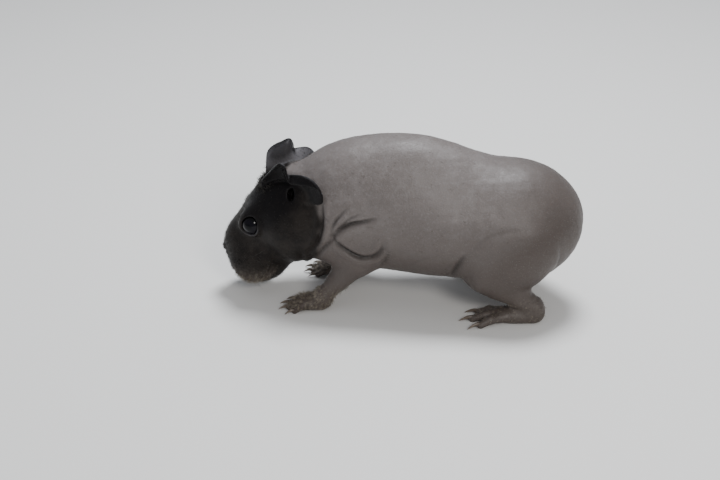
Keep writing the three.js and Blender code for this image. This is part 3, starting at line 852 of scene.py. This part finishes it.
def claw_finish():
    claw = Finish("claw_horn", Roughness=0.35)
    along = claw.attribute("along")
    colour = claw.mix(along, (0.050, 0.036, 0.028, 1), (0.17, 0.13, 0.095, 1))
    streaks = claw.span(claw.noise(800), 0.4, 0.8, 0, 0.4)
    claw.set("Base Color", claw.mix(streaks, colour, (0.03, 0.022, 0.018, 1)))
    claw.set("Normal", claw.bump(claw.noise(1200), 0.2, 0.0001))
    return claw.material


# The skin, with what its finish and its fuzz read from each point

FLESH_NODES = ["head", "neck", "torso"]
for side_name in SIDES:
    FLESH_NODES += [f"ear_{side_name}"]
    FLESH_NODES += [f"{kind}{part}_{side_name}" for kind in LEGS for part in ("leg", "foot")]


# Spots of the level head, on the right side
CROWN_AT = [12.5, 3.5, 17]
BROW_AT = [-7, 9, 14]
WHISKERS_AT = [-20.5, 10.5, -5]
NOSE_AT = [-30, 0, 4]
TEMPLE_AT = [8, 12, 12]
EAR_MOUTH_AT = [17, 13, 9]


def on_head(points):
    return smooth(-36, -44, points[:, 0])


def on_foot(points):
    return smooth(20, 8, points[:, 2]) * (np.abs(points[:, 1]) > LEGS_FROM_MIDDLE)


def from_spot(local, spot, stretch=(1, 1, 1)):
    return np.linalg.norm((local - spot) / np.array(stretch, float), axis=1)


def fuzz_lie(points, normals, crown):
    """The way the hairs point: back from the nose, along the body, and down to the toes."""
    head, foot = on_head(points), on_foot(points)
    side = np.where(points[:, 1] < 0, -1.0, 1.0)
    backwards = np.broadcast_to([1.0, 0, -0.35], points.shape)
    from_nose = unit(points - out_of_head(NOSE_AT))
    toward_toes = np.stack([-np.ones(len(points)), 0.3 * side, np.full(len(points), -0.5)], -1)
    along = backwards + (from_nose - backwards) * head[:, None]
    along = along + (toward_toes - along) * foot[:, None]
    lift = 0.28 + 0.2 * head + 0.35 * crown + 0.12 * foot
    flat = unit(along - normals * (along * normals).sum(1)[:, None])
    lie = unit(normals * lift[:, None] + flat * (1 - lift)[:, None])
    by_floor = smooth(4, 1.5, points[:, 2])
    lie[:, 2] = np.maximum(lie[:, 2], 0.4 * by_floor - (1 - by_floor))
    return unit(lie)


def unwrapped(points):
    """Each root's place on the skin's unwrap: a strip for the body and an island for each foot."""
    x, y, z = points.T
    foot = on_foot(points) > 0.5
    round_body = np.arctan2(y, z - 38 - 10 * smooth(-50, -30, x)) / (2 * np.pi) + 0.5
    round_foot = np.arctan2(z - 4, np.abs(y) - 20) / (2 * np.pi) + 0.5
    island = (x > FOREFEET_END) * 2.0 + (y > 0)
    u = np.where(foot, 0.65 + 0.33 * ((x + 60) % 70) / 70, 0.01 + 0.62 * (x + 95) / 192)
    v = np.where(foot, 0.01 + 0.245 * island + 0.23 * round_foot, 0.01 + 0.98 * round_body)
    return np.stack([u, v, 0 * u], -1)


def fuzz_guides(points, normals, ear_share):
    """Where each kind of fuzz grows, how it lies, how long it is, and its place on the unwrap."""
    folded = mirrored(points)
    local = into_head(folded)
    head, foot = on_head(points), on_foot(points)
    fore = foot * (points[:, 0] < FOREFEET_END)
    muzzle = head * smooth(-10, -24, local[:, 0])
    crown = smooth(8, 3, from_spot(local, CROWN_AT, (1, 1.1, 1.2)))
    brow = head * smooth(7, 3, from_spot(local, BROW_AT))
    _, opening, _ = lids(folded)
    clear = smooth(0.3, 1.4, opening) * (1 - 0.85 * ear_share)
    for path, radius, _ in GROOVES.values():
        clear = clear * smooth(radius + 0.1, radius + 0.8, near_line(folded, path))
    face = np.clip(head * (0.10 + 0.5 * muzzle + 0.25 * brow) + 0.8 * crown, 0, 1)
    return {
        "fuzz_face": face * clear * (1 - foot),
        "fuzz_feet": foot**1.5 * (0.3 + 0.7 * fore) * smooth(0.8, 2.0, points[:, 2]),
        "fuzz_body": (1 - head) * (1 - foot) * smooth(6, 12, points[:, 2]),
        "whiskers": smooth(5.5, 4.5, from_spot(local, WHISKERS_AT, (1, 1, 1.2))) * clear,
        "lie": fuzz_lie(points, normals, crown),
        "fuzz_size": 0.8 + 0.1 * muzzle + 1.3 * crown + 0.7 * fore + 0.3 * foot + 0.3 * brow,
        "place": unwrapped(points),
    }


def ear_markings(points, normals):
    """How much each point belongs to an ear, and to the grey back of one, with painted shade in the hollow
    below its tip.
    """
    away, up, along = ear(points)
    share = smooth(1.2, 0.1, away) * smooth(0.2, 1.4, trunk(points))
    near_canal = from_spot(mirrored(into_head(points)), EAR_MOUTH_AT, (12, 12, 9))
    mouth = 0.9 * smooth(1.25, 0.55, near_canal) * smooth(-30, -34, points[:, 0])
    share = np.maximum(share, mouth)
    facing_in = smooth(-0.1, -0.55, normals[:, 1] * np.sign(points[:, 1]))
    # painted shade in the hollow below the tip on the ear's grey back
    painted_hollow_shade = smooth(0.25, 0.12, np.hypot(along - 0.36, 0.5 * (up - 0.55)))
    return share, share * facing_in * (1 - 0.75 * painted_hollow_shade)


def lid_marking(points):
    """The pale edge of the lids, clearest at the lower rear."""
    folded = mirrored(points)
    shell, opening, _ = lids(folded)
    edge = smooth(0.5, 0.1, np.abs(opening - 0.15)) * smooth(1.6, 0.8, np.abs(shell))
    lower_rear = unit(np.array([0.6, 0, -0.8]))
    from_eye = unit(folded - eye_frame(1)[0])
    return edge * (0.15 + 0.85 * smooth(-0.1, 0.6, from_eye @ lower_rear))


def head_marking_and_shade(points):
    """The head's dark colour, partly its own darker skin and partly painted shade, which ends behind the
    cheek and, on the nape, behind the ears.
    """
    x, y, z = points.T
    nape = smooth(15, 9, np.abs(y))
    border = HEAD_MARKING_AND_SHADE_ENDS - (0.3 + 0.9 * nape) * np.maximum(z - HEAD_MARKING_AND_SHADE_TOP, 0)
    border = border - 0.25 * np.maximum(HEAD_MARKING_AND_SHADE_FOOT - z, 0)
    return smooth(2.5, -2.5, x - border + ripple(points, 9, 8))


def make_skin():
    points, quads, normals, crease_shading = skin_shape()
    skin = mesh_piece("skin", points, quads, skin_finish())
    ear_share, ear_back = ear_markings(points, normals)
    local = mirrored(into_head(points))
    # painted shade: the body darker low on the sides and towards the rump
    lower_side, rear = smooth(62, 24, points[:, 2]), smooth(35, 78, points[:, 0])
    # dark: the head's own darker skin, partly painted shade, and the ears
    give(skin, "dark", np.maximum(head_marking_and_shade(points), ear_share))
    give(skin, "ear", ear_share)
    give(skin, "ear_back", ear_back)
    give(skin, "lid", lid_marking(points))
    # painted shade below the ear
    give(skin, "painted_temple_shade", smooth(20, 6, from_spot(local, TEMPLE_AT)))
    give(skin, "shade", np.clip(0.85 * lower_side + 0.8 * rear, 0, 1))
    give(skin, "foot", on_foot(points))
    # painted shade in the folds
    give(skin, "painted_crease_shade", crease_shading)
    for name, values in fuzz_guides(points, normals, ear_share).items():
        give(skin, name, values)
    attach(skin, "root")
    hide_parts(*FLESH_NODES)
    return skin


def ring_faces(rings, spokes):
    """Faces between rings of points, each ring joined to the next."""
    faces = []
    for ring in range(rings):
        for spoke in range(spokes):
            here, beside = ring * spokes + spoke, ring * spokes + (spoke + 1) % spokes
            faces.append([here, here + spokes, beside + spokes, beside])
    return faces


def make_eye(side_name, material):
    centre, look, along = eye_frame(SIDES[side_name])
    across = np.cross(look, along)
    rings, spokes = 36, 48
    points, away = [], []
    for ring in range(rings + 1):
        polar = math.pi * ring / rings
        bulge = CORNEA_BULGE * float(smooth(0.8, 0.1, np.array(polar)))
        radius = EYE_RADIUS - EYE_CLEARANCE + bulge
        for spoke in range(spokes):
            turn = 2 * math.pi * spoke / spokes
            sideways = along * math.cos(turn) + across * math.sin(turn)
            points.append(centre + radius * (look * math.cos(polar) + sideways * math.sin(polar)))
            away.append(polar)
    faces = ring_faces(rings, spokes)
    eye = mesh_piece(f"eyeball_{side_name}", points, faces, material)
    give(eye, "from_pupil", np.array(away))
    merge_doubles(eye)
    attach(eye, "root")
    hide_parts(f"eye_{side_name}")


def merge_doubles(piece):
    shape = bmesh.new()
    shape.from_mesh(piece.data)
    bmesh.ops.remove_doubles(shape, verts=shape.verts, dist=1e-6)
    bmesh.ops.dissolve_degenerate(shape, dist=1e-7, edges=shape.edges)
    bmesh.ops.recalc_face_normals(shape, faces=shape.faces)
    shape.to_mesh(piece.data)
    shape.free()


def make_claw(kind, side_name, index, material):
    leg = LEGS[kind]
    joints, forward = toe_joints(leg, index, side_name)
    tip, _ = joints[2]
    thick = leg["toe radius"]
    start = tip + [0, 0, 0.25 * thick]
    length = leg["claw"] + thick
    drop = start[2] - CLAW_CLEARANCE
    sideways = unit(np.cross([0, 0, 1.0], forward))
    rings, spokes = 16, 14
    points, along = [], []
    for ring in range(rings + 1):
        t = ring / rings
        middle = start + forward * length * t
        middle[2] = start[2] + 0.5 * math.sin(math.pi * t) - drop * t * t
        radius = CLAW_THICKNESS * thick * (1 - t) ** 0.7 + 0.06
        for spoke in range(spokes):
            turn = 2 * math.pi * spoke / spokes
            ridge = 1 + CLAW_RIDGE * max(math.sin(turn), 0) ** 4
            across = sideways * CLAW_NARROWNESS * radius * math.cos(turn)
            points.append(middle + across + np.array([0, 0, radius * ridge * math.sin(turn)]))
            along.append(t)
    points += [start - forward * 0.2, points[-1]]
    along += [0, 1]
    faces = [[a, d, c, b] for a, b, c, d in ring_faces(rings, spokes)]
    first, last = len(points) - 2, len(points) - 1
    for s in range(spokes):
        nxt = (s + 1) % spokes
        faces.append([first, nxt, s, s])
        faces.append([last, rings * spokes + s, rings * spokes + nxt, rings * spokes + nxt])
    claw = mesh_piece(f"nail_{kind}_{side_name}_{index + 1}", points, faces, material)
    give(claw, "along", np.array(along))
    merge_doubles(claw)
    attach(claw, "root")
    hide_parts(f"claw_{kind}_{side_name}_{index + 1}")


skin = make_skin()
eye_material = eye_finish()
for side_name in SIDES:
    make_eye(side_name, eye_material)
claw_material = claw_finish()
for kind, leg in LEGS.items():
    for side_name in SIDES:
        for index in range(len(leg["toes"])):
            make_claw(kind, side_name, index, claw_material)


# Fuzz: tufts of fine tapered hairs, scattered on the skin along its lie

# Each kind: hairs in a tuft, their length and thickness, how far they spread, joints, tufts a square metre
FUZZ = {
    "fuzz_face": (3, 1.2, 0.07, 0.35, 2, 2.6e6),
    "fuzz_feet": (3, 1.1, 0.07, 0.3, 2, 1.3e6),
    "fuzz_body": (2, 0.9, 0.045, 0.25, 2, 2.6e5),
    "whiskers": (1, 11, 0.16, 0.75, 7, 1.6e5),
}
ROOT_SINK = 0.06  # share of a hair that is under the skin
PATCH = 0.0015  # half width of a tuft's patch on the unwrap
WANDER = 0.22  # how far hairs stray from their lie
SIZES = (0.65, 1.25)  # smallest and largest tuft


def hair_finish():
    hair = Finish("fuzz_hair", Roughness=0.55, Specular_IOR_Level=0.3)
    streak = hair.noise(700, 2)
    body = hair.mix(streak, (0.10, 0.088, 0.080, 1), (0.26, 0.24, 0.22, 1))
    head = hair.mix(hair.span(streak, 0.40, 0.66), (0.008, 0.007, 0.006, 1), (0.090, 0.084, 0.076, 1))
    feet = hair.mix(hair.span(streak, 0.35, 0.65), (0.075, 0.058, 0.044, 1), (0.33, 0.29, 0.235, 1))
    # the head's hairs follow the skin's dark head, which is partly painted shade
    colour = hair.mix(hair.attribute("dark"), body, head)
    colour = hair.mix(hair.attribute("foot"), colour, feet)
    hair.set("Base Color", colour)
    return hair.material


def tuft(name, hairs, length, thickness, spread, joints, seed):
    """A tuft standing on its root along +Z, each hair a three-sided spike that bends outwards."""
    draw = np.random.default_rng(seed)
    points, faces, spots = [], [], []
    for index in range(hairs):
        turn = 2 * math.pi * (index + draw.uniform(0, 0.6)) / hairs
        out = np.array([math.cos(turn), math.sin(turn), 0])
        root = out * spread * 0.35 * length if hairs > 1 else 0 * out
        long = length * draw.uniform(0.75, 1.1)
        first = len(points)
        for joint in range(joints):
            t = joint / joints
            middle = root + out * spread * long * t * t + np.array([0, 0, long * (t - ROOT_SINK)])
            for corner in range(3):
                angle = 2 * math.pi * corner / 3
                around = np.array([math.cos(angle), math.sin(angle), 0])
                points.append(middle + thickness / 2 * (1 - 0.5 * t) * around)
                spots.append(out * 0.6 + 0.4 * around)
        points.append(root + out * spread * long + np.array([0, 0, long]))
        spots.append(out)
        faces.append((first, first + 2, first + 1))
        for ring in range(first, first + 3 * (joints - 1), 3):
            for corner in range(3):
                a, b = ring + corner, ring + (corner + 1) % 3
                faces += [(a, b, b + 3), (a, b + 3, a + 3)]
        last, tip = first + 3 * (joints - 1), first + 3 * joints
        faces += [(last + corner, last + (corner + 1) % 3, tip) for corner in range(3)]
    mesh = bpy.data.meshes.new(name)
    mesh.from_pydata([tuple(p * MM) for p in points], [], faces)
    spot = mesh.attributes.new("spot", "FLOAT_VECTOR", "POINT")
    spot.data.foreach_set("vector", np.array(spots, np.float32).ravel())
    return bpy.data.objects.new(name, mesh)


class Tree:
    """A Geometry Nodes tree and short calls for its nodes."""

    def __init__(self, name, **inputs):
        self.group = bpy.data.node_groups.new(name, "GeometryNodeTree")
        self.keys = {}
        self.start = self.group.nodes.new("NodeGroupInput")
        for key, kind in inputs.items():
            socket = self.group.interface.new_socket(key, in_out="INPUT", socket_type="NodeSocket" + kind)
            self.keys[key] = socket.identifier

    def given(self, name):
        return next(s for s in self.start.outputs if s.identifier == self.keys[name])

    def add(self, kind, feeds=(), **settings):
        node = self.group.nodes.new(kind)
        for key, value in settings.items():
            setattr(node, key, value)
        for socket, value in dict(feeds).items():
            target = node.inputs[socket]
            if isinstance(value, bpy.types.NodeSocket):
                self.group.links.new(value, target)
            else:
                target.default_value = value
        return node

    def work(self, kind, operation, a, b):
        return self.add("ShaderNode" + kind, {0: a, 1: b}, operation=operation).outputs[0]

    def read(self, name, kind):
        node = self.add("GeometryNodeInputNamedAttribute", {"Name": name}, data_type=kind)
        return node.outputs["Attribute"]

    def end(self, geometry):
        self.group.interface.new_socket("Geometry", in_out="OUTPUT", socket_type="NodeSocketGeometry")
        last = self.group.nodes.new("NodeGroupOutput")
        self.group.links.new(geometry, last.inputs[0])


def fuzz_tree():
    inputs = {"Skin": "Geometry", "Tuft": "Object", "Where": "String", "Seed": "Int"}
    tree = Tree("fuzz_along_the_skin", **inputs, Density="Float", Finish="Material")
    where = tree.read(tree.given("Where"), "FLOAT")
    density = tree.work("Math", "MULTIPLY", where, tree.given("Density"))
    roots = tree.add(
        "GeometryNodeDistributePointsOnFaces",
        {"Mesh": tree.given("Skin"), "Density": density, "Seed": tree.given("Seed")},
        distribute_method="RANDOM",
    )
    wander = tree.add(
        "FunctionNodeRandomValue",
        {0: (-WANDER,) * 3, 1: (WANDER,) * 3, "Seed": 7},
        data_type="FLOAT_VECTOR",
    )
    way = tree.work("VectorMath", "ADD", tree.read("lie", "FLOAT_VECTOR"), wander.outputs[0])
    aim = tree.add("FunctionNodeAlignRotationToVector", {"Vector": way}, axis="Z")
    spin = tree.add("FunctionNodeRandomValue", {2: 0.0, 3: 2 * math.pi, "Seed": 8}, data_type="FLOAT")
    twist = tree.add("FunctionNodeAxisAngleToRotation", {"Axis": (0, 0, 1), "Angle": spin.outputs[1]})
    turned = tree.add(
        "FunctionNodeRotateRotation",
        {"Rotation": aim.outputs[0], "Rotate By": twist.outputs[0]},
        rotation_space="LOCAL",
    )
    vary = tree.add("FunctionNodeRandomValue", {2: SIZES[0], 3: SIZES[1], "Seed": 9}, data_type="FLOAT")
    size = tree.work("Math", "MULTIPLY", tree.read("fuzz_size", "FLOAT"), vary.outputs[1])
    shape = tree.add("GeometryNodeObjectInfo", {"Object": tree.given("Tuft")})
    feeds = {"Points": roots.outputs["Points"], "Instance": shape.outputs["Geometry"]}
    feeds |= {"Rotation": turned.outputs[0], "Scale": size}
    tufts = tree.add("GeometryNodeInstanceOnPoints", feeds)
    real = tree.add("GeometryNodeRealizeInstances", {"Geometry": tufts.outputs[0]})
    offset = tree.add(
        "ShaderNodeVectorMath", {0: tree.read("spot", "FLOAT_VECTOR"), "Scale": PATCH}, operation="SCALE"
    )
    patch = tree.work("VectorMath", "ADD", tree.read("place", "FLOAT_VECTOR"), offset.outputs[0])
    mapped = tree.add(
        "GeometryNodeStoreNamedAttribute",
        {"Geometry": real.outputs[0], "Name": "OFBake", "Value": patch},
        data_type="FLOAT2",
        domain="CORNER",
    )
    dressed = tree.add(
        "GeometryNodeSetMaterial", {"Geometry": mapped.outputs[0], "Material": tree.given("Finish")}
    )
    tree.end(dressed.outputs[0])
    return tree


def grow_fuzz(name, tree, skin, given):
    """Fuzz of one kind over the skin, as one plain mesh."""
    carrier = linked(name + "_roots", skin.data)
    modifier = carrier.modifiers.new("fuzz", "NODES")
    modifier.node_group = tree.group
    for key, value in given.items():
        modifier[tree.keys[key]] = value
    ready = carrier.evaluated_get(bpy.context.evaluated_depsgraph_get())
    mesh = bpy.data.meshes.new_from_object(ready)
    mesh.name = name
    carrier.modifiers.remove(modifier)
    bpy.data.objects.remove(carrier)
    for left_over in ("lie", "spot", "place", "fuzz_size", *FUZZ):
        if left_over in mesh.attributes:
            mesh.attributes.remove(mesh.attributes[left_over])
    piece = linked(name, mesh)
    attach(piece, "root")


def make_fuzz(skin):
    tree = fuzz_tree()
    finish = hair_finish()
    for seed, (name, (hairs, length, thickness, spread, joints, each)) in enumerate(FUZZ.items(), 11):
        shape = tuft(name + "_tuft", hairs, length, thickness, spread, joints, seed)
        given = {"Tuft": shape, "Where": name, "Density": each, "Seed": seed, "Finish": finish}
        grow_fuzz(name, tree, skin, given)
        bpy.data.objects.remove(shape)


make_fuzz(skin)


# Floor, light and camera

FLOOR_HALF = 4.0  # metres


def make_floor():
    floor_finish = Finish("pale_floor", Roughness=0.75)
    floor_finish.set("Base Color", (0.72, 0.71, 0.69, 1))
    mesh = bpy.data.meshes.new("floor")
    corners = [(x * FLOOR_HALF, y * FLOOR_HALF, 0) for x, y in ((-1, -1), (1, -1), (1, 1), (-1, 1))]
    mesh.from_pydata(corners, [], [(0, 1, 2, 3)])
    floor = linked("floor", mesh)
    mesh.materials.append(floor_finish.material)


def make_light(name, place, size, power, colour, target):
    lamp = bpy.data.lights.new(name, "AREA")
    lamp.shape = "DISK"
    lamp.size = size
    lamp.energy = power
    lamp.color = colour
    light = linked(name, lamp)
    light.location = place
    light.rotation_euler = (Vector(target) - Vector(place)).to_track_quat("-Z", "Y").to_euler()


CAMERA_AZIMUTH = 4.5
CAMERA_ELEVATION = 28
CAMERA_DISTANCE = 0.62
FOCAL_PIXELS = 1271
IMAGE = (720, 480)
EYE_PIXEL = (253, 223.5)


def make_camera():
    camera = linked("camera", bpy.data.cameras.new("camera"))
    camera.data.sensor_width = 36
    camera.data.lens = 36 * FOCAL_PIXELS / IMAGE[0]
    camera.data.clip_start = 0.01
    a, e = math.radians(CAMERA_AZIMUTH), math.radians(CAMERA_ELEVATION)
    back = Vector((math.sin(a) * math.cos(e), -math.cos(a) * math.cos(e), math.sin(e)))
    turn = (-back).to_track_quat("-Z", "Y")
    right, up = turn @ Vector((1, 0, 0)), turn @ Vector((0, 1, 0))
    eye = Vector((eye_low + eye_high) / 2)
    metres = CAMERA_DISTANCE / FOCAL_PIXELS
    aside = right * (EYE_PIXEL[0] - IMAGE[0] / 2) * metres + up * (IMAGE[1] / 2 - EYE_PIXEL[1]) * metres
    camera.location = eye - aside + back * CAMERA_DISTANCE
    camera.rotation_euler = turn.to_euler()
    bpy.context.scene.camera = camera


def make_world():
    world = bpy.data.worlds.new("studio")
    world.use_nodes = True
    sky = world.node_tree.nodes["Background"].inputs
    sky["Color"].default_value = (0.80, 0.83, 0.88, 1)
    sky["Strength"].default_value = 0.55
    bpy.context.scene.world = world


make_floor()
make_world()
make_light("window", (0.06, 0.22, 0.85), 0.30, 10, (0.93, 0.96, 1.0), (-0.01, 0, 0.05))
make_light("fill", (0.35, -0.75, 0.60), 0.30, 4.5, (1.0, 0.97, 0.93), (0, 0, 0.04))
make_camera()
